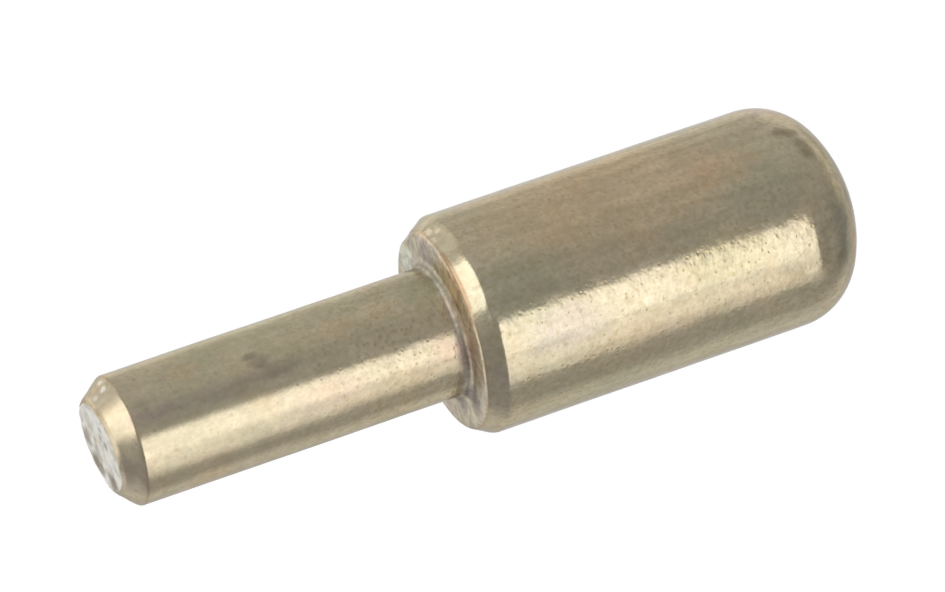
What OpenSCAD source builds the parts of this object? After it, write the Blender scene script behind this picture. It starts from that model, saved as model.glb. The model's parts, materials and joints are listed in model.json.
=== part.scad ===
// Plug-in shelf support pin: a thin stem for the cabinet's hole and a thick head that carries the shelf.
// It is turned from one bar. It lies as it is fitted: +X is its axis, with the stem towards -X, and +Z is up.
// The origin is the middle of the shoulder's face, which stops against the cabinet's side. Millimetres.

/* [Head] */
// Diameter of the head, which the shelf lies on
head_d = 5; // [4.4:0.1:6.4]
// Length of the head, from the shoulder to its far end
head_len = 9.78; // [6:0.02:20]
// Radius that rounds the edge of the far end
end_round = 1.5; // [0.5:0.05:1.9]
// Radius of the dome inside that rounded edge
end_crown = 3.4; // [3.3:0.05:12]

/* [Shoulder] */
// Length of the shoulder's chamfer, along the axis
shoulder_run = 0.45; // [0.35:0.05:0.8]
// Depth of the shoulder's chamfer, across the axis
shoulder_drop = 0.25; // [0.2:0.01:0.3]
// Radius that eases the chamfer into the head's side
shoulder_round = 0.3; // [0.1:0.05:0.5]
// Radius that eases the chamfer into the shoulder's face
rim_round = 0.15; // [0.05:0.01:0.2]
// Radius of the fillet between the shoulder's face and the stem
root_fillet = 0.2; // [0.05:0.01:0.25]

/* [Stem] */
// Diameter of the hole that the stem plugs into
hole_d = 3; // [2.4:0.1:3.2]
// Play between the stem and its hole, on the diameter
hole_play = 0.04; // [0.02:0.01:0.2]
// Length of the stem, from the shoulder to the tip
stem_len = 8.2; // [4:0.05:16]
// Length of the tip's chamfer, along the axis
tip_run = 0.58; // [0.4:0.02:0.8]
// Depth of the tip's chamfer, across the axis
tip_drop = 0.42; // [0.3:0.02:0.5]
// Radius that eases both edges of the tip's chamfer
tip_round = 0.12; // [0.05:0.01:0.2]

/* [Hidden] */
$fn = 128;
arc_step = 5; // degrees that one side of an arc turns through
head_r = head_d / 2;
stem_d = hole_d - hole_play;
stem_r = stem_d / 2;

// Corners of the turned outline, as [radius, place along the axis], before their edges are eased.
tip_centre = [0, -stem_len];
tip_rim = [stem_r - tip_drop, -stem_len];
tip_edge = [stem_r, tip_run - stem_len];
stem_root = [stem_r, 0];
shoulder_rim = [head_r - shoulder_drop, 0];
shoulder_edge = [head_r, shoulder_run];

// The far end is two arcs that touch: a small one round its edge and a wide one across its middle.
crown_centre = [0, head_len - end_crown];
round_centre = [head_r - end_round, crown_centre.y
    + sqrt(pow(end_crown - end_round, 2) - pow(head_r - end_round, 2))];
round_start = [head_r, round_centre.y];
meeting_angle = atan2(round_centre.y - crown_centre.y, round_centre.x);

function unit(v) = v / norm(v);

// The vector v turned by an angle, anticlockwise.
function turned(v, angle) =
    [v.x * cos(angle) - v.y * sin(angle), v.x * sin(angle) + v.y * cos(angle)];

// The arc of radius r that replaces corner q, whose neighbours are p and s.
function eased(p, q, s, r) =
    let (
        half = acos(unit(p - q) * unit(s - q)) / 2,
        centre = q + unit(unit(p - q) + unit(s - q)) * r / sin(half),
        start = q + unit(p - q) * r / tan(half),
        bend = (180 - 2 * half) * sign(cross(q - p, s - q)),
        steps = ceil(abs(bend) / arc_step)
    )
    [for (i = [0:steps]) centre + turned(start - centre, bend * i / steps)];

// The arc of radius r round a centre from one angle to another, less its first point.
function swept(centre, r, from, to) =
    let (steps = ceil((to - from) / arc_step))
    [for (i = [1:steps]) centre + turned([r, 0], from + (to - from) * i / steps)];

module outline() {
    polygon(concat(
        [tip_centre],
        eased(tip_centre, tip_rim, tip_edge, tip_round),
        eased(tip_rim, tip_edge, stem_root, tip_round),
        eased(tip_edge, stem_root, shoulder_rim, root_fillet),
        eased(stem_root, shoulder_rim, shoulder_edge, rim_round),
        eased(shoulder_rim, shoulder_edge, round_start, shoulder_round),
        [round_start],
        swept(round_centre, end_round, 0, meeting_angle),
        swept(crown_centre, end_crown, meeting_angle, 90)
    ));
}

module pin() {
    color("#a08f66") rotate([0, 90, 0]) rotate_extrude() outline();
}

pin();
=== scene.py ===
"""Looks of the shelf support pin: a turned steel pin with a thin, tarnished bronze plating.

The pin keeps the frame of its CAD model: +X runs along its axis from the shoulder to the round end,
the stem points along -X and +Z is up. Lengths are metres; sizes given in millimetres end in _mm.
A station is a place along the axis, in millimetres from the shoulder's face.
"""

import json
import logging
import math
from dataclasses import dataclass, field
from enum import Enum
from typing import Any

import bmesh
import bpy
from bmesh.types import BMVert, BMesh
from bpy.types import AreaLight, Material, Node, NodeSocket, NodeTree, Object, World
from mathutils import Euler, Matrix, Vector, noise


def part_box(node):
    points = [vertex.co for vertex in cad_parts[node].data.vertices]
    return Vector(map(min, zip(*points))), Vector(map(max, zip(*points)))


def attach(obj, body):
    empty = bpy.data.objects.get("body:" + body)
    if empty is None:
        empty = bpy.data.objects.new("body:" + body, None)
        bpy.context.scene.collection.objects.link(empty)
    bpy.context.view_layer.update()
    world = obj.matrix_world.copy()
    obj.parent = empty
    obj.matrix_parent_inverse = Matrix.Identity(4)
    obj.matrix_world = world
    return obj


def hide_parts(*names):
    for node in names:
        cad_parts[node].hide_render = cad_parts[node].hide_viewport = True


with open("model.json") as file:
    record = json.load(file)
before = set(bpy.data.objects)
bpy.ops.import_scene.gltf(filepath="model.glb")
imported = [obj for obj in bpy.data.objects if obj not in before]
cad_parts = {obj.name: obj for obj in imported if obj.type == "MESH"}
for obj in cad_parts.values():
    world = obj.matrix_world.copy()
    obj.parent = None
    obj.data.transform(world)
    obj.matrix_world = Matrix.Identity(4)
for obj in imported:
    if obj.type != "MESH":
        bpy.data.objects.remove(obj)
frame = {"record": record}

LOG = logging.getLogger("shelf_support_pin")
MM = 0.001
ORIGIN = Vector((0.0, 0.0, 0.0))
AXIS = Vector((1.0, 0.0, 0.0))
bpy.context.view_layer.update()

Colour = tuple[float, float, float]
WHITE: Colour = (1.0, 1.0, 1.0)


# ---------------- places and directions


def around(station_mm: float, angle: float, radius_mm: float) -> Vector:
    """Find a point beside the axis, at degrees round it from the front (-Y) up over the top (+Z)."""
    turn = math.radians(angle)
    return Vector((station_mm, -radius_mm * math.cos(turn), radius_mm * math.sin(turn))) * MM


def toward(azimuth: float, elevation: float) -> Vector:
    """Point at degrees from the front (-Y) round to the right (+X), and degrees above the horizon."""
    turn, rise = math.radians(azimuth), math.radians(elevation)
    return Vector((math.sin(turn) * math.cos(rise), -math.cos(turn) * math.cos(rise), math.sin(rise)))


def smooth(low: float, high: float, value: float) -> float:
    """Rise smoothly from 0 at low to 1 at high."""
    share = min(max((value - low) / (high - low), 0.0), 1.0)
    return share * share * (3.0 - 2.0 * share)


# ---------------- node building


class Nodes:
    """A node tree that is written one call a node."""

    def __init__(self, tree: NodeTree) -> None:
        """Keep the tree that nodes are added to."""
        self.tree = tree

    def add(self, kind: str, inputs: dict[Any, Any] | None = None, **settings: Any) -> Node:
        """Add a node and fill its sockets.

        Args:
            kind: the node's type, without its ShaderNode prefix.
            inputs: a value or another node's output for each named or numbered input.
            settings: the node's own properties.

        Returns:
            The new node.
        """
        node = self.tree.nodes.new("ShaderNode" + kind)
        for name, value in settings.items():
            setattr(node, name, value)
        for key, value in (inputs or {}).items():
            self.join(value, node.inputs[key])
        return node

    def join(self, value: Any, socket: NodeSocket) -> None:
        """Link an output to a socket, or set the socket's own value.

        Args:
            value: an output socket or a plain value.
            socket: the input to fill.
        """
        if isinstance(value, NodeSocket):
            self.tree.links.new(value, socket)
        elif socket.type == "RGBA" and len(value) == 3:
            socket.default_value = (*value, 1.0)
        else:
            socket.default_value = value

    def math(self, operation: str, first: Any, second: Any = 0.0, clamp: bool = False) -> Any:
        """Work out one operation on two numbers, and keep the result from 0 to 1 if asked."""
        return self.add("Math", {0: first, 1: second}, operation=operation, use_clamp=clamp).outputs[0]

    def plus(self, first: Any, second: Any) -> Any:
        """Add two numbers."""
        return self.math("ADD", first, second)

    def minus(self, first: Any, second: Any) -> Any:
        """Take the second number from the first."""
        return self.math("SUBTRACT", first, second)

    def times(self, first: Any, second: Any) -> Any:
        """Multiply two numbers."""
        return self.math("MULTIPLY", first, second)

    def vectors(self, operation: str, *parts: Any) -> Any:
        """Work out one operation on vectors."""
        return self.add("VectorMath", dict(enumerate(parts)), operation=operation).outputs[0]

    def along(self, place: Any) -> Any:
        """Take the X part of coordinates, which runs along the pin."""
        return self.add("SeparateXYZ", {0: place}).outputs[0]

    def span(self, value: Any, low: Any, high: Any, start: Any = 0.0, end: Any = 1.0) -> Any:
        """Map low..high smoothly onto start..end, and hold the ends."""
        limits = {"Value": value, "From Min": low, "From Max": high, "To Min": start, "To Max": end}
        return self.add("MapRange", limits, interpolation_type="SMOOTHSTEP").outputs["Result"]

    def blend_numbers(self, share: Any, first: Any, second: Any) -> Any:
        """Mix two numbers, where share is how much of the second there is."""
        return self.add("Mix", {0: share, 2: first, 3: second}, data_type="FLOAT").outputs[0]

    def blend(self, share: Any, under: Any, over: Any, how: str = "MIX") -> Any:
        """Lay a share of one colour over another, with the blend type named by how."""
        return self.add("Mix", {0: share, 6: under, 7: over}, data_type="RGBA", blend_type=how).outputs[2]

    def noise(self, place: Any, scale: Any, detail: float = 2.0, rough: float = 0.5) -> Any:
        """Make cloudy noise near 0.5, with scale features a unit and fine octaves as strong as rough."""
        cloud = {"Vector": place, "Scale": scale, "Detail": detail, "Roughness": rough}
        return self.add("TexNoise", cloud).outputs[0]


def fresh_nodes(owner: Material | World) -> Nodes:
    """Empty an owner's node tree, ready to be filled.

    Args:
        owner: the material or the world.

    Returns:
        Its nodes.
    """
    owner.use_nodes = True
    owner.node_tree.nodes.clear()
    return Nodes(owner.node_tree)


class Effect(Enum):
    """The shared surface effects, each a node group that is built once."""

    MOTTLE = "cloudy_tarnish"
    PITS = "fine_pits"
    GRAIN = "rolled_grain"
    LINES = "drawn_lines"
    PATCH = "soft_patch"
    BAND = "station_band"


@dataclass
class Effects:
    """Builds the shared effects, which work on coordinates in millimetres."""

    made: dict[Effect, NodeTree] = field(default_factory=dict)

    def build(self) -> None:
        """Make every group once."""
        for make in (self.mottle, self.pits, self.grain, self.lines, self.patch, self.band):
            make()

    def start(self, effect: Effect, inputs: dict[str, Any], output: str) -> tuple[Nodes, Any, Any]:
        """Start a node group.

        Args:
            effect: which effect it is.
            inputs: the default of each input besides the place, a number or a vector.
            output: the name of its one output.

        Returns:
            The group's nodes, what it is given and the socket that it fills.
        """
        tree = bpy.data.node_groups.new(effect.value, "ShaderNodeTree")
        self.made[effect] = tree
        for name, default in {"Place": (0.0, 0.0, 0.0), **inputs}.items():
            kind = "NodeSocketVector" if isinstance(default, tuple) else "NodeSocketFloat"
            socket = tree.interface.new_socket(name=name, in_out="INPUT", socket_type=kind)
            socket.default_value = default
        tree.interface.new_socket(name=output, in_out="OUTPUT", socket_type="NodeSocketFloat")
        given, out = tree.nodes.new("NodeGroupInput"), tree.nodes.new("NodeGroupOutput")
        return Nodes(tree), given.outputs, out.inputs[0]

    def mottle(self) -> None:
        """Large soft clouds with ragged edges, as tarnish makes."""
        inputs = {"Scale": 0.6, "Low": 0.45, "High": 0.6, "Shift": (0.0, 0.0, 0.0)}
        nodes, given, mask = self.start(Effect.MOTTLE, inputs, "Mask")
        moved = nodes.vectors("ADD", given["Place"], given["Shift"])
        ragged = {"Vector": moved, "Scale": given["Scale"], "Detail": 5.0, "Roughness": 0.55,
                  "Distortion": 0.4}
        cloud = nodes.add("TexNoise", ragged).outputs[0]
        nodes.join(nodes.span(cloud, given["Low"], given["High"]), mask)

    def pits(self) -> None:
        """Small pits of uneven outline and size, in only a share of the cells."""
        bend_mm, smallest, rim = 0.07, 0.55, 0.75
        nodes, given, mask = self.start(Effect.PITS, {"Scale": 8.0, "Size": 0.3, "Share": 0.4}, "Mask")
        cloud = {"Vector": given["Place"], "Scale": given["Scale"], "Detail": 1.0}
        shift = nodes.add("TexNoise", cloud).outputs["Color"]
        bent = nodes.vectors("MULTIPLY_ADD", shift, (bend_mm,) * 3, given["Place"])
        cells = nodes.add("TexVoronoi", {"Vector": bent, "Scale": given["Scale"], "Randomness": 1.0})
        chosen = nodes.add("SeparateColor", {0: cells.outputs["Color"]}).outputs
        kept = nodes.math("LESS_THAN", chosen[0], given["Share"])
        reach = nodes.times(given["Size"], nodes.span(chosen[1], 0.0, 1.0, smallest, 1.0))
        away = nodes.math("DIVIDE", cells.outputs["Distance"], reach)
        hole = nodes.span(nodes.math("SUBTRACT", 1.0, away, clamp=True), 0.0, rim)
        nodes.join(nodes.times(hole, kept), mask)

    def grain(self) -> None:
        """The fine peel of plated, tumbled metal, as a height near 0.5."""
        finer = 2.3
        nodes, given, height = self.start(Effect.GRAIN, {"Scale": 9.0, "Fine": 0.4}, "Height")
        coarse = nodes.noise(given["Place"], given["Scale"])
        fine = nodes.noise(given["Place"], nodes.times(given["Scale"], finer), detail=1.0)
        nodes.join(nodes.blend_numbers(given["Fine"], coarse, fine), height)

    def lines(self) -> None:
        """Faint lines that run along the axis, as a drawn bar has."""
        nodes, given, height = self.start(Effect.LINES, {"Along": 0.35, "Across": 9.0}, "Height")
        stretch = nodes.add("CombineXYZ", {0: given["Along"], 1: given["Across"], 2: given["Across"]})
        place = nodes.vectors("MULTIPLY", given["Place"], stretch.outputs[0])
        nodes.join(nodes.noise(place, 1.0, detail=3.0, rough=0.6), height)

    def patch(self) -> None:
        """A soft oval patch with a ragged edge, round a given centre."""
        solid = 0.35
        inputs = {"Centre": (0.0, 0.0, 0.0), "Size": (1.0, 1.0, 1.0), "Ragged": 0.5}
        nodes, given, mask = self.start(Effect.PATCH, inputs, "Mask")
        offset = nodes.vectors("SUBTRACT", given["Place"], given["Centre"])
        shrunk = nodes.vectors("DIVIDE", offset, given["Size"])
        reach = nodes.add("VectorMath", {0: shrunk}, operation="LENGTH").outputs["Value"]
        edge = nodes.minus(nodes.noise(given["Place"], 3.5, detail=3.0, rough=0.6), 0.5)
        ragged = nodes.plus(reach, nodes.times(edge, given["Ragged"]))
        nodes.join(nodes.span(ragged, 1.0, solid), mask)

    def band(self) -> None:
        """A ring round the pin at one station, broken up by noise."""
        solid = 0.2
        inputs = {"Station": 0.0, "Width": 0.1, "Broken": 0.5}
        nodes, given, mask = self.start(Effect.BAND, inputs, "Mask")
        away = nodes.math("ABSOLUTE", nodes.minus(nodes.along(given["Place"]), given["Station"]))
        share = nodes.math("DIVIDE", away, given["Width"])
        gaps = nodes.times(nodes.noise(given["Place"], 2.6, detail=3.0, rough=0.6), given["Broken"])
        nodes.join(nodes.span(nodes.plus(share, gaps), 1.0, solid), mask)


# ---------------- finishes


class Coat:
    """A material of the pin while it is mixed: its nodes, the shared effects and the places on the pin."""

    def __init__(self, name: str, effects: Effects) -> None:
        """Start the material.

        Args:
            name: the material's name.
            effects: the shared effects.
        """
        self.material = bpy.data.materials.new(name)
        self.nodes = fresh_nodes(self.material)
        self.effects = effects
        metres = self.nodes.add("TexCoord").outputs["Object"]
        self.place = self.nodes.add("Mapping", {"Vector": metres, "Scale": (1.0 / MM,) * 3}).outputs[0]
        self.station = self.nodes.along(self.place)

    def effect(self, effect: Effect, **inputs: Any) -> Any:
        """Spread a shared effect over the pin.

        Args:
            effect: the effect.
            inputs: its inputs, named as in its group.

        Returns:
            The group's output.
        """
        node = self.nodes.add("Group", node_tree=self.effects.made[effect])
        for name, value in {"Place": self.place, **inputs}.items():
            self.nodes.join(value, node.inputs[name])
        return node.outputs[0]

    def bump(self, distance_mm: float, height: Any) -> Any:
        """Turn a height into a normal, where distance_mm is how high 1 stands."""
        relief = {"Strength": 1.0, "Distance": distance_mm * MM, "Height": height}
        return self.nodes.add("Bump", relief).outputs[0]

    def finish(self, inputs: dict[str, Any]) -> Material:
        """Put the shader in.

        Args:
            inputs: the shader's inputs.

        Returns:
            The finished material.
        """
        shader = self.nodes.add("BsdfPrincipled", inputs)
        self.nodes.add("OutputMaterial", {"Surface": shader.outputs[0]})
        return self.material


@dataclass(frozen=True)
class StainAndPaintedLight:
    """A soft patch of another colour at one place on the pin: a stain, a painted highlight or reflection,
    or painted shade.
    """

    station_mm: float
    angle: float
    radius_mm: float
    along_mm: float
    across_mm: float
    colour: Colour
    strength: float = 0.9
    ragged: float = 0.7

    def lay(self, coat: Coat, under: Any) -> Any:
        """Multiply a colour by the patch's.

        Args:
            coat: the material so far.
            under: the colour underneath.

        Returns:
            The stained colour.
        """
        centre = tuple(around(self.station_mm, self.angle, self.radius_mm) / MM)
        size = (self.along_mm, self.across_mm, self.across_mm)
        mask = coat.effect(Effect.PATCH, Centre=centre, Size=size, Ragged=self.ragged)
        return coat.nodes.blend(coat.nodes.times(mask, self.strength), under, self.colour, "MULTIPLY")


@dataclass(frozen=True)
class Ring:
    """A ring round the pin, broken up by noise: grime with painted shade in the stem's root, or wear along
    an edge.
    """

    station_mm: float
    width_mm: float
    colour: Colour
    strength: float
    broken: float

    def lay(self, coat: Coat, under: Any) -> Any:
        """Lay the ring over a colour of the material so far."""
        mask = coat.effect(Effect.BAND, Station=self.station_mm, Width=self.width_mm, Broken=self.broken)
        return coat.nodes.blend(coat.nodes.times(mask, self.strength), under, self.colour)


@dataclass(frozen=True)
class BronzePlate:
    """Thin satin bronze plating: straw-coloured, finely grained and pitted, tarnished in faint clouds.

    The layers are stains, painted light and shade, and rings, in the order in which they are laid over the
    plating.
    """

    layers: tuple[StainAndPaintedLight | Ring, ...]
    straw: Colour = (0.612, 0.528, 0.376)
    olive: Colour = (0.545, 0.495, 0.345)
    olive_share: float = 0.62
    copper: Colour = (0.640, 0.510, 0.335)
    copper_share: float = 0.55
    drab: Colour = (0.52, 0.445, 0.285)
    face_dark: Colour = (0.47, 0.41, 0.325)
    face_pale: Colour = (0.71, 0.645, 0.53)
    face_share: float = 0.85
    pit_colour: Colour = (0.42, 0.33, 0.16)
    pit_share: float = 0.55
    pit_relief: float = 0.38
    line_relief: float = 0.06
    relief_mm: float = 0.005
    grazing: Colour = (0.50, 0.50, 0.50)
    tip_roughness: float = 0.30
    stem_roughness: float = 0.235
    head_roughness: float = 0.185
    face_roughness: float = 0.42
    shoulder_chamfer_mm: float = 0.2

    def make(self, effects: Effects) -> Material:
        """Build the material.

        Args:
            effects: the shared effects.

        Returns:
            The material.
        """
        coat = Coat("bronze_plate", effects)
        pits = self.pits(coat)
        face = self.face(coat)
        return coat.finish({
            "Base Color": self.colour(coat, pits, face),
            "Metallic": 1.0,
            "Roughness": self.polish(coat, face),
            "Specular Tint": self.grazing,
            "Normal": self.surface(coat, pits),
        })

    @staticmethod
    def face(coat: Coat) -> Any:
        """Find the shoulder's face and the fillet at its root, which the tumbling never polished.

        Args:
            coat: the material so far.

        Returns:
            A mask that is 1 there.
        """
        nodes, raggedness = coat.nodes, 0.16
        ragged = nodes.times(nodes.noise(coat.place, 4.0, detail=3.0, rough=0.6), raggedness)
        after = nodes.span(nodes.minus(coat.station, ragged), -0.36, -0.20)
        before = nodes.span(coat.station, 0.015, 0.05, 1.0, 0.0)
        return nodes.times(after, before)

    def polish(self, coat: Coat, face: Any) -> Any:
        """Set how rough the plating is: dullest on the shoulder's face, brightest on the head.

        Args:
            coat: the material so far.
            face: the mask of the shoulder's face.

        Returns:
            The roughness.
        """
        nodes, station = coat.nodes, coat.station
        smudge = coat.effect(Effect.MOTTLE, Scale=1.6, Low=0.35, High=0.7, Shift=(7.0, 7.0, 7.0))
        stem = nodes.span(station, -7.78, -7.55, self.tip_roughness, self.stem_roughness)
        head = nodes.span(station, -0.2, 0.5, 0.0, self.head_roughness - self.stem_roughness)
        bright = nodes.plus(nodes.plus(stem, head), nodes.span(smudge, 0.0, 1.0, -0.02, 0.03))
        return nodes.blend_numbers(face, bright, self.face_roughness)

    def pits(self, coat: Coat) -> Any:
        """Scatter fine pits, thickest by the stem's root, none on the shoulder's chamfer, and rarer ones.

        The rarer ones lie all over.

        Args:
            coat: the material so far.

        Returns:
            A mask that is 1 in a pit.
        """
        nodes, station, rare_depth = coat.nodes, coat.station, 0.8
        from_chamfer = nodes.math("ABSOLUTE", nodes.minus(station, self.shoulder_chamfer_mm))
        on_stem = nodes.span(station, -4.8, -2.2, 0.12, 0.85)
        share = nodes.plus(on_stem, nodes.span(station, -0.2, 1.0, 0.0, -0.35))
        where = nodes.times(share, nodes.span(from_chamfer, 0.2, 0.4))
        fine = coat.effect(Effect.PITS, Scale=7.5, Size=0.46, Share=where)
        rare = coat.effect(Effect.PITS, Scale=3.2, Size=0.27, Share=0.25)
        on_stem = nodes.span(station, -4.0, -1.0, 0.65, 1.0)
        depth = nodes.plus(on_stem, nodes.span(station, -0.2, 1.0, 0.0, -0.3))
        return nodes.math("MAXIMUM", nodes.times(fine, depth), nodes.times(rare, rare_depth))

    def colour(self, coat: Coat, pits: Any, face: Any) -> Any:
        """Mix the plating's colours, from the metal up to the pits.

        Args:
            coat: the material so far.
            pits: the pits' mask.
            face: the mask of the shoulder's face.

        Returns:
            The colour.
        """
        nodes, place = coat.nodes, coat.place
        olive = coat.effect(Effect.MOTTLE, Scale=0.8, Low=0.4, High=0.65, Shift=(3.0, 3.0, 3.0))
        warm = coat.effect(Effect.MOTTLE, Scale=0.9, Low=0.5, High=0.7, Shift=(11.0, 11.0, 11.0))
        tone = nodes.blend(nodes.times(olive, self.olive_share), self.straw, self.olive)
        tone = nodes.blend(nodes.times(warm, self.copper_share), tone, self.copper)
        tone = self.shade(nodes, tone, nodes.noise(place, 1.8, detail=3.0, rough=0.6), depth=0.05)
        tone = self.shade(nodes, tone, nodes.noise(place, 5.5, rough=0.6), depth=0.06)
        tone = self.shade(nodes, tone, nodes.noise(place, 13.0, detail=1.0), depth=0.03)
        thick = nodes.span(coat.station, -4.5, -1.5, 0.35, 0.75)
        speckle = nodes.times(nodes.span(nodes.noise(place, 8.0), 0.48, 0.66), thick)
        tone = nodes.blend(speckle, tone, self.drab)
        tone = self.shade(nodes, tone, coat.effect(Effect.LINES, Along=0.35, Across=4.0), depth=0.07)
        patchy = nodes.span(nodes.noise(place, 5.0, detail=4.0, rough=0.65), 0.36, 0.64)
        bare = nodes.blend(patchy, self.face_dark, self.face_pale)
        tone = nodes.blend(nodes.times(face, self.face_share), tone, bare)
        # the layers hold painted highlights, reflections and shade besides stains, grime and wear
        for layer in self.layers:
            tone = layer.lay(coat, tone)
        return nodes.blend(nodes.times(pits, self.pit_share), tone, self.pit_colour)

    @staticmethod
    def shade(nodes: Nodes, tone: Any, value: Any, depth: float) -> Any:
        """Darken and lighten a colour a little.

        Args:
            nodes: the material's nodes.
            tone: the colour.
            value: what drives it, near 0.5.
            depth: how far the colour moves each way.

        Returns:
            The shaded colour.
        """
        grey = nodes.span(value, 0.25, 0.75, 1.0 - depth, 1.0 + depth)
        even = nodes.add("CombineColor", {0: grey, 1: grey, 2: grey}).outputs[0]
        return nodes.blend(1.0, tone, even, "MULTIPLY")

    def surface(self, coat: Coat, pits: Any) -> Any:
        """Shape the fine relief.

        Args:
            coat: the material so far.
            pits: the pits' mask.

        Returns:
            The normal.
        """
        nodes = coat.nodes
        coarse = nodes.span(coat.station, -5.0, -2.0, 0.6, 1.75)
        height = nodes.times(coat.effect(Effect.GRAIN, Scale=3.4, Fine=0.3), coarse)
        lines = coat.effect(Effect.LINES, Along=0.6, Across=6.0)
        height = nodes.plus(height, nodes.times(lines, self.line_relief))
        height = nodes.minus(height, nodes.times(pits, self.pit_relief))
        return coat.bump(self.relief_mm, height)


@dataclass(frozen=True)
class CroppedEnd:
    """The stem's rough end, where the bar was cut off: pale bare metal with dark pits."""

    stains: tuple[StainAndPaintedLight, ...]
    pale: Colour = (0.74, 0.73, 0.67)
    grey: Colour = (0.56, 0.53, 0.46)
    rust: Colour = (0.60, 0.47, 0.36)
    rust_share: float = 0.5
    hollow: Colour = (0.25, 0.22, 0.18)
    hollow_share: float = 0.8
    smooth_roughness: float = 0.42
    worn_roughness: float = 0.6
    metal: float = 0.85
    relief_mm: float = 0.02

    def make(self, effects: Effects) -> Material:
        """Build the material.

        Args:
            effects: the shared effects.

        Returns:
            The material.
        """
        coat = Coat("cropped_end", effects)
        nodes = coat.nodes
        worn = coat.effect(Effect.MOTTLE, Scale=2.6, Low=0.4, High=0.65, Shift=(2.0, 2.0, 2.0))
        warm = coat.effect(Effect.MOTTLE, Scale=2.0, Low=0.56, High=0.72, Shift=(5.0, 5.0, 5.0))
        pits = coat.effect(Effect.PITS, Scale=3.4, Size=0.6, Share=0.4)
        grain = coat.effect(Effect.GRAIN, Scale=8.0, Fine=0.4)
        tone = nodes.blend(worn, self.pale, self.grey)
        tone = nodes.blend(nodes.times(warm, self.rust_share), tone, self.rust)
        tone = nodes.blend(nodes.times(pits, self.hollow_share), tone, self.hollow)
        for stain in self.stains:
            tone = stain.lay(coat, tone)
        return coat.finish({
            "Base Color": tone,
            "Metallic": self.metal,
            "Roughness": nodes.span(worn, 0.0, 1.0, self.smooth_roughness, self.worn_roughness),
            "Normal": coat.bump(self.relief_mm, nodes.minus(grain, pits)),
        })


# ---------------- the pin


@dataclass(frozen=True)
class Dent:
    """A shallow hollow worn or knocked into the surface."""

    station_mm: float
    angle: float
    radius_mm: float
    reach_mm: float
    depth_mm: float

    @property
    def centre(self) -> Vector:
        """The dent's middle, in metres."""
        return around(self.station_mm, self.angle, self.radius_mm)


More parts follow.
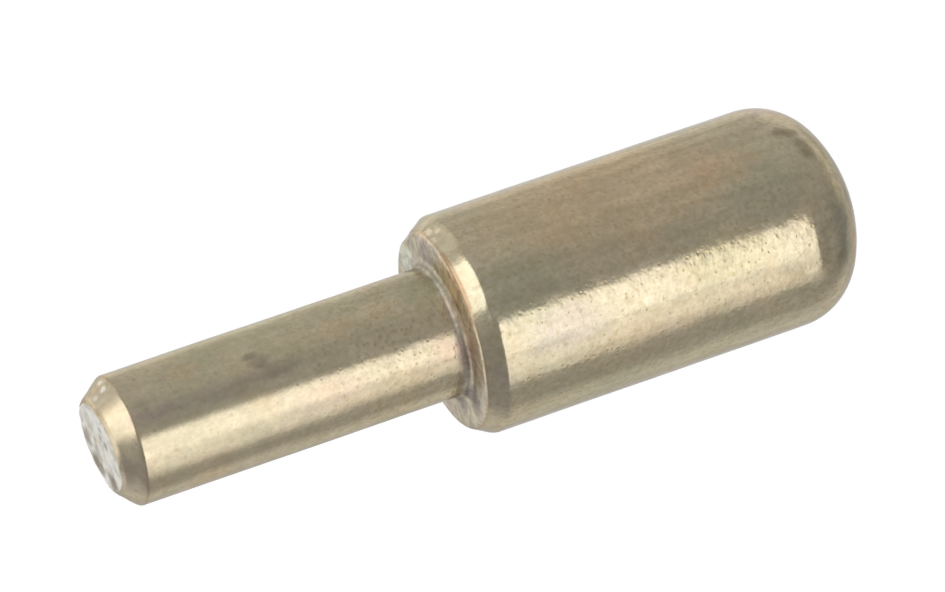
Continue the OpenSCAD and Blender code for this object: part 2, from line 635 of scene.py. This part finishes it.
@dataclass
class TurnedPin:
    """The whole pin, turned from one bar: cropped tip, stem, shoulder, head and round end.

    The worn surface lies about wear_mm inside the nominal one. The cut end lies slant_mm back at its
    middle, less toward +Y and +Z by its leans, and its face is torn besides.
    """

    stem_radius_mm: float
    head_radius_mm: float
    tip_mm: float
    end_mm: float
    dents: tuple[Dent, ...]
    tip_run_mm: float = 0.58
    tip_drop_mm: float = 0.42
    tip_round_mm: float = 0.12
    root_fillet_mm: float = 0.2
    shoulder_run_mm: float = 0.45
    shoulder_drop_mm: float = 0.25
    rim_round_mm: float = 0.15
    shoulder_round_mm: float = 0.3
    end_round_mm: float = 1.5
    end_crown_mm: float = 3.4
    around_steps: int = 288
    spacing_mm: float = 0.08
    fine_spacing_mm: float = 0.05
    merge_mm: float = 0.0005
    wear_mm: float = 0.006
    swell_mm: float = 0.006
    swells_per_mm: float = 0.55
    ripple_mm: float = 0.0018
    ripples_per_mm: float = 1.7
    slant_mm: float = 0.065
    lean_y: float = 0.030
    lean_z: float = 0.045
    torn_mm: float = 0.022
    tears_per_mm: float = 2.6
    torn_fine_mm: float = 0.012
    fine_tears_per_mm: float = 6.5

    def outline(self, work: BMesh) -> None:
        """Draw half the section in the XZ plane, from the tip's middle to the round end's middle.

        Args:
            work: the mesh that gets the outline's vertices and edges.
        """
        tip, rim = self.tip_mm, self.stem_radius_mm - self.tip_drop_mm
        root, shoulder = self.stem_radius_mm, self.head_radius_mm - self.shoulder_drop_mm
        corners = [
            ((tip, rim), self.tip_round_mm, self.fine_spacing_mm),
            ((tip + self.tip_run_mm, root), self.tip_round_mm, self.fine_spacing_mm),
            ((0.0, root), self.root_fillet_mm, self.spacing_mm),
            ((0.0, shoulder), self.rim_round_mm, self.fine_spacing_mm),
            ((self.shoulder_run_mm, self.head_radius_mm), self.shoulder_round_mm, self.fine_spacing_mm),
        ]
        crown = self.end_mm - self.end_crown_mm
        inset = self.head_radius_mm - self.end_round_mm
        rise = math.sqrt((self.end_crown_mm - self.end_round_mm) ** 2 - inset ** 2)
        meeting = math.atan2(inset, rise)
        pen = Pen(work, (tip, 0.0))
        stops = [place for place, _, _ in corners[1:]] + [(crown + rise, self.head_radius_mm)]
        for (place, radius, spacing), following in zip(corners, stops):
            pen.round_corner(place, following, radius, spacing)
        pen.line((crown + rise, self.head_radius_mm), self.spacing_mm)
        pen.arc((crown + rise, inset), math.pi / 2 - meeting, self.fine_spacing_mm)
        pen.arc((crown, 0.0), meeting, self.fine_spacing_mm)

    def turn(self) -> BMesh:
        """Turn the outline round the axis.

        Returns:
            The closed shape, with its faces outwards.
        """
        work = bmesh.new()
        self.outline(work)
        bmesh.ops.spin(work, geom=work.verts[:] + work.edges[:], cent=ORIGIN, axis=AXIS, dvec=ORIGIN,
                       angle=2 * math.pi, space=Matrix(), steps=self.around_steps, use_merge=True,
                       use_normal_flip=False, use_duplicate=False)
        bmesh.ops.remove_doubles(work, verts=work.verts[:], dist=self.merge_mm * MM)
        bmesh.ops.recalc_face_normals(work, faces=work.faces[:])
        return work

    def wear(self, work: BMesh) -> None:
        """Move the surface as cropping, tumbling and use left it.

        Args:
            work: the turned shape.
        """
        work.normal_update()
        moves = [vertex.normal * self.relief(vertex.co) + self.cropping(vertex.co) for vertex in work.verts]
        for vertex, move in zip(work.verts, moves):
            vertex.co += move

    def relief(self, place: Vector) -> float:
        """Work out how far the surface lies inside the nominal one.

        Args:
            place: a point on the nominal surface.

        Returns:
            A distance along the normal, never above 0.
        """
        spot, offset, reach_limit = place / MM, AXIS * 9.0, 2.5
        swell = noise.noise(spot * self.swells_per_mm) * self.swell_mm
        swell += noise.noise(spot * self.ripples_per_mm + offset) * self.ripple_mm
        depth = self.wear_mm - swell
        for dent in self.dents:
            away = (place - dent.centre).length / (dent.reach_mm * MM)
            if away < reach_limit:
                depth += dent.depth_mm * math.exp(-away * away * 2.0)
        return -max(depth, 0.0) * MM

    def cropping(self, place: Vector) -> Vector:
        """Work out the cut end's slant and its torn surface.

        Args:
            place: a point on the nominal surface.

        Returns:
            A move along the axis.
        """
        depth_mm = place.x / MM - self.tip_mm
        share = 1.0 - smooth(0.0, self.tip_run_mm, depth_mm)
        if share <= 0.0:
            return ORIGIN
        spot = place / MM
        slant = self.slant_mm - self.lean_y * spot.y - self.lean_z * spot.z
        torn = self.torn_mm * (1.0 + noise.noise(spot * self.tears_per_mm))
        torn += self.torn_fine_mm * (1.0 + noise.noise(spot * self.fine_tears_per_mm))
        on_face = 1.0 - smooth(0.02, 0.12, depth_mm)
        return AXIS * (share * max(slant, 0.0) + on_face * torn) * MM

    def build(self, plate: Material, cropped: Material) -> Object:
        """Build the pin's mesh and dress it.

        Args:
            plate: the finish of the turned surface.
            cropped: the finish of the cut end.

        Returns:
            The finished piece.
        """
        face_depth_mm, edge_mm = 0.06, 0.04
        work = self.turn()
        rim = (self.stem_radius_mm - self.tip_drop_mm - edge_mm) * MM
        for face in work.faces:
            face.smooth = True
            middle = face.calc_center_median()
            if middle.x < (self.tip_mm + face_depth_mm) * MM and middle.yz.length < rim:
                face.material_index = 1
        self.wear(work)
        piece = make_object("turned_pin", work, plate, cropped)
        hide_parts("pin")
        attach(piece, "root")
        return piece


def make_object(name: str, work: BMesh, *materials: Material) -> Object:
    """Turn a drawn shape into an object at the origin.

    Args:
        name: its name.
        work: its shape, which is used up.
        materials: its finishes.

    Returns:
        The object.
    """
    mesh = bpy.data.meshes.new(name)
    work.to_mesh(mesh)
    work.free()
    for material in materials:
        mesh.materials.append(material)
    made = bpy.data.objects.new(name, mesh)
    bpy.context.scene.collection.objects.link(made)
    return made


class Pen:
    """Draws an outline of straight runs and arcs in the XZ plane, with mesh operators."""

    def __init__(self, work: BMesh, start: tuple[float, float]) -> None:
        """Put the pen down in a mesh, at a station and a radius in millimetres."""
        self.work = work
        self.last = work.verts.new((start[0] * MM, 0.0, start[1] * MM))

    def line(self, end: tuple[float, float], spacing_mm: float) -> None:
        """Draw a straight run.

        Args:
            end: where it ends.
            spacing_mm: the longest step along it.
        """
        run = Vector((end[0], 0.0, end[1])) * MM - self.last.co
        steps = max(math.ceil(run.length / (spacing_mm * MM)), 1)
        self.sweep(ORIGIN, 0.0, run / steps, steps)

    def arc(self, centre: tuple[float, float], angle: float, spacing_mm: float) -> None:
        """Draw an arc round a centre, in steps of 12 degrees or less.

        Args:
            centre: the arc's centre.
            angle: how far it turns, in radians, positive as the pin's round end does.
            spacing_mm: the longest step along it.
        """
        middle = Vector((centre[0], 0.0, centre[1])) * MM
        length = (self.last.co - middle).length * abs(angle)
        steps = max(math.ceil(length / (spacing_mm * MM)), math.ceil(abs(angle) / math.radians(12.0)))
        self.sweep(middle, angle, ORIGIN, steps)

    def sweep(self, centre: Vector, angle: float, step: Vector, steps: int) -> None:
        """Carry the pen's point along, leaving edges behind it.

        Args:
            centre: what it turns round.
            angle: how far it turns.
            step: how far it moves at each step besides turning.
            steps: the number of edges.
        """
        made = bmesh.ops.spin(self.work, geom=[self.last], cent=centre, axis=(0.0, 1.0, 0.0), dvec=step,
                              angle=angle, space=Matrix(), steps=steps, use_merge=False,
                              use_normal_flip=False, use_duplicate=False)
        self.last = next(item for item in made["geom_last"] if isinstance(item, BMVert))

    def round_corner(self, corner: tuple[float, float], following: tuple[float, float], radius_mm: float,
                     spacing_mm: float) -> None:
        """Draw up to a corner and round it.

        Args:
            corner: the sharp corner.
            following: the next corner.
            radius_mm: the radius that eases it.
            spacing_mm: the longest step.
        """
        point = Vector((corner[0], corner[1]))
        before = (Vector((self.last.co.x, self.last.co.z)) / MM - point).normalized()
        after = (Vector(following) - point).normalized()
        half = before.angle(after) / 2
        centre = point + (before + after).normalized() * radius_mm / math.sin(half)
        start = point + before * radius_mm / math.tan(half)
        side = math.copysign(1.0, before.x * after.y - before.y * after.x)
        self.line(tuple(start), spacing_mm)
        self.arc(tuple(centre), side * (math.pi - 2 * half), spacing_mm)


# ---------------- the studio


def hang_lamp(lamp: AreaLight, place: Vector, turn: Euler) -> None:
    """Hang a lamp that the camera doesn't see.

    Args:
        lamp: the lamp.
        place: where it hangs.
        turn: how it is turned.
    """
    hung = bpy.data.objects.new(lamp.name, lamp)
    hung.location = place
    hung.rotation_euler = turn
    hung.visible_camera = False
    bpy.context.scene.collection.objects.link(hung)


@dataclass(frozen=True)
class Softbox:
    """An upright oblong lamp in front of the pin, which shines along +Y."""

    name: str
    left: float
    right: float
    bottom: float
    top: float
    radiance: float
    away: float = 0.42

    def hang(self) -> None:
        """Hang the lamp."""
        lamp = bpy.data.lights.new(self.name, "AREA")
        lamp.shape = "RECTANGLE"
        lamp.size, lamp.size_y = self.right - self.left, self.top - self.bottom
        lamp.energy = self.radiance * math.pi * lamp.size * lamp.size_y
        middle = Vector(((self.left + self.right) / 2, -self.away, (self.bottom + self.top) / 2))
        hang_lamp(lamp, middle, Euler((math.pi / 2, 0.0, 0.0)))


@dataclass(frozen=True)
class Disc:
    """A wide round lamp far to one side, as many degrees across as its width says."""

    name: str
    azimuth: float
    elevation: float
    width: float
    away: float
    radiance: float

    def hang(self) -> None:
        """Hang the lamp."""
        lamp = bpy.data.lights.new(self.name, "AREA")
        lamp.shape = "DISK"
        lamp.size = 2.0 * self.away * math.tan(math.radians(self.width) / 2)
        lamp.energy = self.radiance * math.pi ** 2 * lamp.size ** 2 / 4
        way = toward(self.azimuth, self.elevation)
        hang_lamp(lamp, way * self.away, way.to_track_quat("Z", "Y").to_euler())


class Glow:
    """The light of a studio card or of the dome, which needs no lamp and may fade across it."""

    def __init__(self, name: str) -> None:
        """Start the material.

        Args:
            name: its name.
        """
        self.material = bpy.data.materials.new(name)
        self.nodes = fresh_nodes(self.material)
        metres = self.nodes.add("TexCoord").outputs["Object"]
        self.place = self.nodes.add("SeparateXYZ", {0: metres}).outputs

    def lit(self, strength: Any) -> Material:
        """Set how light the card is.

        Args:
            strength: one number, or an output that changes over the card.

        Returns:
            The finished material.
        """
        light = self.nodes.add("Emission", {"Color": WHITE, "Strength": strength})
        self.nodes.add("OutputMaterial", {"Surface": light.outputs[0]})
        return self.material


@dataclass
class Studio:
    """A white floor and room, soft lamps, cards and a dome that only the metal mirrors, and the camera.

    Lengths are metres, angles are degrees and the lens is in millimetres. A card's or a room's number says
    how light it is, where 1 is white.
    """

    drop: float = 0.25
    floor_size: float = 100.0
    floor_colour: float = 0.80
    floor_lift: float = 0.465
    card_gap: float = 0.004
    card_dark: float = 0.45
    card_rise: float = 0.66
    card_far: float = 0.36
    card_apron: float = 0.13
    card_left: float = 0.85
    card_right_near: float = 0.70
    card_right_far: float = 0.90
    front_grey: float = 0.35
    right_dark: float = 0.40
    right_pale: float = 0.74
    rear_pale: float = 1.25
    rear_dark: float = 0.70
    back_left_grey: float = 0.80
    back_grey: float = 0.70
    left_grey: float = 1.3
    rear_top: float = 0.30
    wall_away: float = 0.55
    right_wall_away: float = 0.60
    back_away: float = 0.62
    back_left_edge: float = -0.05
    back_right_edge: float = 0.32
    room_front: float = 0.36
    room_rise: float = 0.08
    room_back: float = 0.17
    dome_radius: float = 75.0
    lamps: tuple[Softbox | Disc, ...] = (
        Softbox("front_softbox", left=0.055, right=0.196, bottom=0.19, top=0.338, radiance=1.48),
        Softbox("front_softbox_low", left=0.0, right=0.196, bottom=0.02, top=0.19, radiance=1.40),
        Softbox("front_reflector", left=-0.02, right=0.196, bottom=-0.165, top=0.02, radiance=0.95),
        Softbox("front_skirt", left=-0.02, right=0.196, bottom=-0.245, top=-0.165, radiance=0.50),
        Disc("left_softbox", azimuth=-92.0, elevation=40.0, width=56.0, away=10.0, radiance=1.38),
    )
    aim_mm: tuple[float, float, float] = (0.988, 0.479, 0.210)
    azimuth: float = -25.67
    elevation: float = 45.29
    distance: float = 0.162
    lens: float = 282.7

    def build(self) -> None:
        """Set up the whole studio."""
        self.lay_floor()
        self.lay_card()
        self.stand_walls()
        self.paint_room()
        self.hang_dome()
        for lamp in self.lamps:
            lamp.hang()
            LOG.info("lamp %s", lamp.name)
        self.place_camera()
        bpy.context.scene.view_settings.view_transform = "Standard"

    @staticmethod
    def sheet(name: str, low: Vector, high: Vector, material: Material) -> Object:
        """Make a flat rectangle for the studio.

        Args:
            name: its name.
            low: its lowest corner.
            high: its highest corner.
            material: its finish.

        Returns:
            The sheet.
        """
        work = bmesh.new()
        bmesh.ops.create_grid(work, x_segments=1, y_segments=1, size=0.5)
        size = high - low
        if size.z > 0.0:
            turn = Matrix.Rotation(math.pi / 2, 3, "X" if size.y == 0.0 else "Y")
            bmesh.ops.rotate(work, verts=work.verts[:], cent=ORIGIN, matrix=turn)
        bmesh.ops.scale(work, verts=work.verts[:], vec=size)
        bmesh.ops.translate(work, verts=work.verts[:], vec=(low + high) / 2)
        return Studio.hold(name, work, material)

    @staticmethod
    def hold(name: str, work: BMesh, material: Material) -> Object:
        """Turn a drawn shape into an object for the studio.

        Args:
            name: its name.
            work: its shape, which is used up.
            material: its finish.

        Returns:
            The object.
        """
        made = make_object(name, work, material)
        return made

    def lay_floor(self) -> None:
        """Lay the floor, well below the pin, as under a thing held in a stand."""
        half = self.floor_size / 2
        low, high = Vector((-half, -half, -self.drop)), Vector((half, half, -self.drop))
        self.sheet("floor", low, high, self.floor_material())

    def lay_card(self) -> None:
        """Lay a graded card over the floor, for the metal alone: dark in front, brightest far behind.

        Its grades start and end at multiples of the pin's height above the floor. The apron is the part
        in front and to the right, which is a little lighter again.
        """
        level, reach = self.card_gap - self.drop, self.drop
        low = Vector((-12.0 * reach, -self.wall_away, level))
        high = Vector((self.right_wall_away, 12.0 * reach, level))
        glow = Glow("graded_card")
        nodes, (across, back, _) = glow.nodes, glow.place
        near = nodes.span(back, -0.7 * reach, 0.15 * reach, self.card_dark, self.card_dark + self.card_rise)
        far = nodes.span(back, 1.1 * reach, 1.8 * reach, 0.0, self.card_far)
        apron = nodes.span(back, -1.75 * reach, -1.2 * reach, self.card_apron, 0.0)
        apron = nodes.times(apron, nodes.span(across, 0.0, 0.4 * reach))
        left = nodes.span(across, -0.2 * reach, 0.45 * reach, self.card_left, 1.0)
        corner = nodes.span(back, 0.5 * reach, 1.5 * reach, self.card_right_near, self.card_right_far)
        right = nodes.span(across, 0.45 * reach, 1.9 * reach, 1.0, corner)
        strength = nodes.times(nodes.plus(nodes.plus(near, far), apron), nodes.times(left, right))
        self.only_mirrored(self.sheet("graded_card", low, high, glow.lit(strength)))

    def stand_walls(self) -> None:
        """Stand grey walls and cards round the pin, for the metal alone."""
        away, right, foot, back = self.wall_away, self.right_wall_away, -self.drop, self.back_away
        middle, edge = self.back_left_edge, self.back_right_edge
        side, rear = Glow("right_grey"), Glow("rear_white")
        side_grade = side.nodes.span(side.place[1], -0.05, 0.24, self.right_dark, self.right_pale)
        rear_grade = rear.nodes.span(rear.place[2], -0.15, 0.25, self.rear_pale, self.rear_dark)
        cards = {
            "front_wall": ((-1.2, -away, foot), (right, -away, 0.0),
                           Glow("front_grey").lit(self.front_grey)),
            "left_card": ((-0.6, -0.16, foot), (-0.6, 0.20, 0.12), Glow("left_white").lit(self.left_grey)),
            "back_left_card": ((-0.95, back, 0.0), (middle, back, 0.7),
                               Glow("back_left_grey").lit(self.back_left_grey)),
            "back_card": ((middle, back, 0.0), (edge, back, 0.2), Glow("back_grey").lit(self.back_grey)),
            "right_wall": ((right, -away, foot), (right, 0.6, 0.0), side.lit(side_grade)),
            "rear_card": ((edge, back, foot), (1.3, back, self.rear_top), rear.lit(rear_grade)),
        }
        for name, (low, high, material) in cards.items():
            self.only_mirrored(self.sheet(name, Vector(low), Vector(high), material))

    @staticmethod
    def only_mirrored(card: Object) -> None:
        """Hide a card from everything but reflections.

        Args:
            card: the card.
        """
        card.visible_camera = False
        card.visible_diffuse = False
        card.visible_transmission = False
        card.visible_shadow = False

    def floor_material(self) -> Material:
        """Make the floor's matt white, which reads as white to the eye and keeps shadows.

        Returns:
            The material.
        """
        material = bpy.data.materials.new("floor_white")
        nodes = fresh_nodes(material)
        matt = nodes.add("BsdfDiffuse", {"Color": (self.floor_colour,) * 3})
        strength = nodes.times(self.seen(nodes), self.floor_lift)
        lift = nodes.add("Emission", {"Color": WHITE, "Strength": strength})
        both = nodes.add("AddShader", {0: matt.outputs[0], 1: lift.outputs[0]})
        nodes.add("OutputMaterial", {"Surface": both.outputs[0]})
        return material

    def paint_room(self) -> None:
        """Fill the room with soft light, and make it read as white to the eye."""
        world = bpy.data.worlds.new("room")
        nodes = fresh_nodes(world)
        way = nodes.add("SeparateXYZ", {0: nodes.add("TexCoord").outputs["Generated"]}).outputs
        strength = nodes.blend_numbers(self.seen(nodes), self.room_light(nodes, way, 1.0), 1.0)
        light = nodes.add("Background", {"Color": WHITE, "Strength": strength})
        nodes.add("OutputWorld", {"Surface": light.outputs[0]})
        bpy.context.scene.world = world

    def room_light(self, nodes: Nodes, way: Any, reach: float) -> Any:
        """Work out the room's light, which grows toward the back and overhead.

        Args:
            nodes: the tree that works it out.
            way: the three parts of a direction.
            reach: how long that direction is.

        Returns:
            The light's strength.
        """
        above = nodes.span(way[2], 0.0, reach, 0.0, self.room_rise)
        behind = nodes.span(way[1], -0.4 * reach, reach, self.room_front, self.room_front + self.room_back)
        return nodes.plus(above, behind)

    def hang_dome(self) -> None:
        """Hang a dome with the room's own light round everything, for the metal alone."""
        work = bmesh.new()
        bmesh.ops.create_uvsphere(work, u_segments=48, v_segments=24, radius=self.dome_radius)
        glow = Glow("room_grey")
        light = glow.lit(self.room_light(glow.nodes, glow.place, self.dome_radius))
        self.only_mirrored(self.hold("dome", work, light))

    @staticmethod
    def seen(nodes: Nodes) -> Any:
        """Find the rays that show the background: the camera's, and those mirrored or let through.

        Args:
            nodes: the material's or the room's nodes.

        Returns:
            A mask that is 1 for them.
        """
        rays = nodes.add("LightPath").outputs
        eye = nodes.math("MAXIMUM", rays["Is Camera Ray"], rays["Is Glossy Ray"])
        return nodes.math("MAXIMUM", eye, rays["Is Transmission Ray"])

    def place_camera(self) -> None:
        """Place the camera."""
        lens = bpy.data.cameras.new("camera")
        lens.lens = self.lens
        lens.sensor_width = 36.0
        lens.clip_start, lens.clip_end = 0.01, 200.0
        camera = bpy.data.objects.new("camera", lens)
        back = toward(self.azimuth, self.elevation)
        camera.location = Vector(self.aim_mm) * MM + back * self.distance
        camera.rotation_euler = back.to_track_quat("Z", "Y").to_euler()
        bpy.context.scene.collection.objects.link(camera)
        bpy.context.scene.camera = camera


# ---------------- wear, stains and painted light and shade


PLATE_STAINS_AND_PAINTED_LIGHT = (
    # the head
    StainAndPaintedLight(3.8, 93.0, 2.5, 4.2, 2.0, (1.10, 1.00, 0.93)),
    StainAndPaintedLight(1.2, 55.0, 2.5, 1.6, 1.1, (0.93, 0.98, 0.98)),
    StainAndPaintedLight(7.2, 62.0, 2.5, 1.1, 0.9, (0.90, 0.95, 0.96)),
    StainAndPaintedLight(5.0, 15.0, 2.5, 4.5, 0.5, (1.05, 1.00, 0.97), ragged=1.2),
    StainAndPaintedLight(4.5, -16.0, 2.5, 6.0, 0.8, (0.96, 1.00, 1.00)),
    StainAndPaintedLight(6.6, 82.0, 2.5, 1.2, 0.6, (1.06, 0.98, 0.94), ragged=1.0),
    StainAndPaintedLight(2.0, 29.0, 2.5, 1.3, 0.7, (1.01, 0.99, 1.12)),
    StainAndPaintedLight(5.9, 38.0, 2.5, 1.6, 0.8, (1.03, 1.03, 0.94), 0.8),
    # the round end
    StainAndPaintedLight(8.8, 24.0, 2.2, 0.35, 1.3, (0.74, 0.79, 0.86)),
    StainAndPaintedLight(8.9, 62.0, 2.15, 0.18, 0.9, (1.16, 1.15, 1.05), ragged=1.0),
    # painted reflection: a pale, bluish rim along the top edge
    StainAndPaintedLight(8.25, 116.0, 2.4, 0.6, 0.5, (1.06, 1.04, 1.14)),
    StainAndPaintedLight(8.4, 91.0, 2.45, 0.42, 0.28, (0.68, 0.66, 0.64), ragged=1.2),
    StainAndPaintedLight(8.62, 79.0, 2.37, 0.28, 0.40, (0.70, 0.70, 0.64), ragged=1.2),
    StainAndPaintedLight(9.3, 52.0, 1.85, 0.10, 0.7, (0.80, 0.78, 0.74), ragged=1.2),
    StainAndPaintedLight(9.25, 10.0, 2.0, 0.35, 0.75, (1.07, 0.93, 0.86)),
    # the shoulder's chamfer and face: tints, a brown rim line, painted glints, highlights and reflection,
    # and a painted shadow of the stem
    StainAndPaintedLight(0.3, 5.0, 2.35, 0.35, 1.2, (0.92, 0.91, 1.0)),
    StainAndPaintedLight(0.06, 72.0, 2.29, 0.08, 1.35, (0.68, 0.52, 0.41), ragged=0.5),
    # painted glints on the chamfer's top
    StainAndPaintedLight(0.16, 113.0, 2.35, 0.11, 0.16, (1.60, 1.55, 1.60), ragged=1.5),
    StainAndPaintedLight(0.10, 104.0, 2.30, 0.09, 0.16, (1.45, 1.38, 1.38), ragged=1.5),
    StainAndPaintedLight(0.27, 109.0, 2.40, 0.10, 0.14, (1.50, 1.46, 1.44), ragged=1.5),
    # painted highlight along the rim's top
    StainAndPaintedLight(0.03, 118.0, 2.25, 0.10, 0.5, (1.25, 1.16, 1.16)),
    # painted reflection: a pale bluish crescent on the face's upper side
    StainAndPaintedLight(0.0, 158.0, 2.10, 0.25, 0.75, (1.18, 1.34, 1.44)),
    # painted shadow of the stem on the face, above the root
    StainAndPaintedLight(0.0, 116.0, 1.88, 0.25, 0.50, (0.74, 0.75, 0.80)),
    # painted highlight streaks along the root
    StainAndPaintedLight(0.0, 82.0, 1.95, 0.05, 0.7, (1.50, 1.42, 1.32)),
    StainAndPaintedLight(0.0, 30.0, 1.90, 0.05, 1.1, (1.65, 1.58, 1.58)),
    # the stem's root and the face round it: dirt and painted shade in the crease, painted highlights and a
    # painted shadow below the root
    # dirt and painted shade in the root's crease
    StainAndPaintedLight(-0.05, 92.0, 1.68, 0.35, 0.5, (0.84, 0.86, 0.80)),
    StainAndPaintedLight(-0.05, 56.0, 1.56, 0.08, 1.3, (0.74, 0.72, 0.68)),
    # painted highlight on the root's fillet
    StainAndPaintedLight(-0.10, 36.0, 1.52, 0.14, 0.35, (1.20, 1.22, 1.22), ragged=0.9),
    # more dirt and painted shade in the crease
    StainAndPaintedLight(-0.12, 62.0, 1.52, 0.16, 0.45, (0.84, 0.78, 0.74), ragged=1.5),
    StainAndPaintedLight(-0.10, 24.0, 1.52, 0.18, 0.55, (0.74, 0.69, 0.70), ragged=1.5),
    # painted shadow: the dark mass below the root
    StainAndPaintedLight(0.0, -18.0, 1.66, 0.25, 0.46, (0.50, 0.50, 0.545), ragged=0.9),
    StainAndPaintedLight(0.0, -50.0, 1.64, 0.2, 0.32, (0.62, 0.63, 0.68), ragged=0.9),
    # painted highlight on the face below the root
    StainAndPaintedLight(0.0, -38.0, 1.95, 0.2, 0.35, (1.15, 1.15, 1.12)),
    # the stem
    StainAndPaintedLight(-4.66, 82.0, 1.48, 0.24, 0.13, (0.68, 0.66, 0.69), ragged=0.9),
    StainAndPaintedLight(-4.48, 74.0, 1.48, 0.36, 0.20, (0.74, 0.72, 0.76), ragged=0.9),
    StainAndPaintedLight(-4.25, 63.0, 1.48, 0.70, 0.30, (0.84, 0.82, 0.86), ragged=0.9),
    StainAndPaintedLight(-5.6, 60.0, 1.48, 2.6, 0.3, (0.90, 0.88, 0.96)),
    StainAndPaintedLight(-7.2, 62.0, 1.48, 0.9, 0.3, (0.92, 0.90, 0.96)),
    StainAndPaintedLight(-3.3, 28.0, 1.48, 1.3, 0.5, (1.03, 0.97, 1.02), ragged=1.2),
    StainAndPaintedLight(-2.6, 82.0, 1.48, 0.7, 0.4, (1.06, 0.98, 0.93), ragged=1.2),
    StainAndPaintedLight(-1.6, 84.0, 1.48, 0.6, 0.35, (1.06, 0.98, 0.93), ragged=1.2),
    StainAndPaintedLight(-6.15, 90.0, 1.48, 0.6, 0.3, (1.05, 0.98, 0.94), ragged=1.2),
    StainAndPaintedLight(-0.45, 30.0, 1.48, 0.5, 0.5, (1.04, 0.93, 0.97), ragged=1.2),
    # the tip's chamfer: a tint, and painted glints on its top
    StainAndPaintedLight(-7.85, 8.0, 1.25, 0.5, 0.8, (0.90, 0.88, 0.98)),
    # painted glints on the tip chamfer's top
    StainAndPaintedLight(-7.80, 108.0, 1.33, 0.13, 0.12, (1.60, 1.75, 2.25), ragged=0.6),
    StainAndPaintedLight(-7.74, 122.0, 1.36, 0.10, 0.14, (1.50, 1.60, 2.05), ragged=0.6),
    StainAndPaintedLight(-8.00, 108.0, 1.18, 0.10, 0.12, (1.40, 1.48, 1.85), ragged=0.6),
    # the stem's top
    StainAndPaintedLight(-0.5, 88.0, 1.48, 0.6, 0.8, (0.86, 0.90, 0.86)),
    StainAndPaintedLight(-4.5, 92.0, 1.48, 3.8, 1.5, (0.96, 0.99, 0.96)),
)

CROPPED_STAINS = (
    StainAndPaintedLight(-8.15, -155.0, 0.76, 0.4, 0.34, (0.42, 0.35, 0.28), ragged=1.0),
    StainAndPaintedLight(-8.15, -105.0, 0.80, 0.4, 0.40, (0.40, 0.33, 0.26), ragged=1.0),
    StainAndPaintedLight(-8.15, -50.0, 0.82, 0.4, 0.36, (0.42, 0.36, 0.30), ragged=1.0),
    StainAndPaintedLight(-8.15, -132.0, 0.40, 0.4, 0.24, (0.66, 0.64, 0.60)),
)

DENTS = (
    Dent(0.05, 150.0, 2.3, 0.45, 0.09),
    Dent(0.12, 109.0, 2.30, 0.10, 0.020),
    Dent(0.30, 114.0, 2.40, 0.12, 0.020),
    Dent(0.22, 100.0, 2.36, 0.09, 0.014),
    Dent(0.16, 118.0, 2.33, 0.09, 0.020),
    Dent(0.36, 106.0, 2.44, 0.10, 0.016),
    Dent(-7.85, 113.0, 1.30, 0.08, 0.030),
    Dent(-7.75, 104.0, 1.38, 0.07, 0.024),
    Dent(-7.98, 122.0, 1.18, 0.09, 0.030),
    Dent(-8.0, 150.0, 1.3, 0.14, 0.05),
)


def main() -> None:
    """Build the pin and its studio."""
    logging.basicConfig(level=logging.INFO, format="%(message)s")
    low, high = (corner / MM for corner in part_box("pin"))
    mounts = {mount["name"]: mount for mount in frame["record"]["mounts"]}
    effects = Effects()
    effects.build()
    # dirt and painted shade in the crease at the stem's root
    root_grime_and_shade = (
        Ring(-0.15, 0.15, (0.36, 0.31, 0.255), strength=0.85, broken=1.1),
        Ring(-0.06, 0.12, (0.27, 0.235, 0.19), strength=0.85, broken=0.9),
    )
    edge_stations_mm = (low.x + 0.07, low.x + 0.58, 0.06)
    edges = tuple(Ring(station, 0.08, (0.47, 0.34, 0.22), strength=0.7, broken=0.9)
                  for station in edge_stations_mm)
    plate = BronzePlate(layers=root_grime_and_shade + PLATE_STAINS_AND_PAINTED_LIGHT + edges)
    cropped = CroppedEnd(stains=CROPPED_STAINS)
    pin = TurnedPin(stem_radius_mm=mounts["stem"]["dims"]["r_mm"], head_radius_mm=high.z,
                    tip_mm=low.x, end_mm=high.x, dents=DENTS)
    piece = pin.build(plate.make(effects), cropped.make(effects))
    LOG.info("%s: %d faces", piece.name, len(piece.data.polygons))
    Studio().build()


if __name__ == "__main__":
    main()
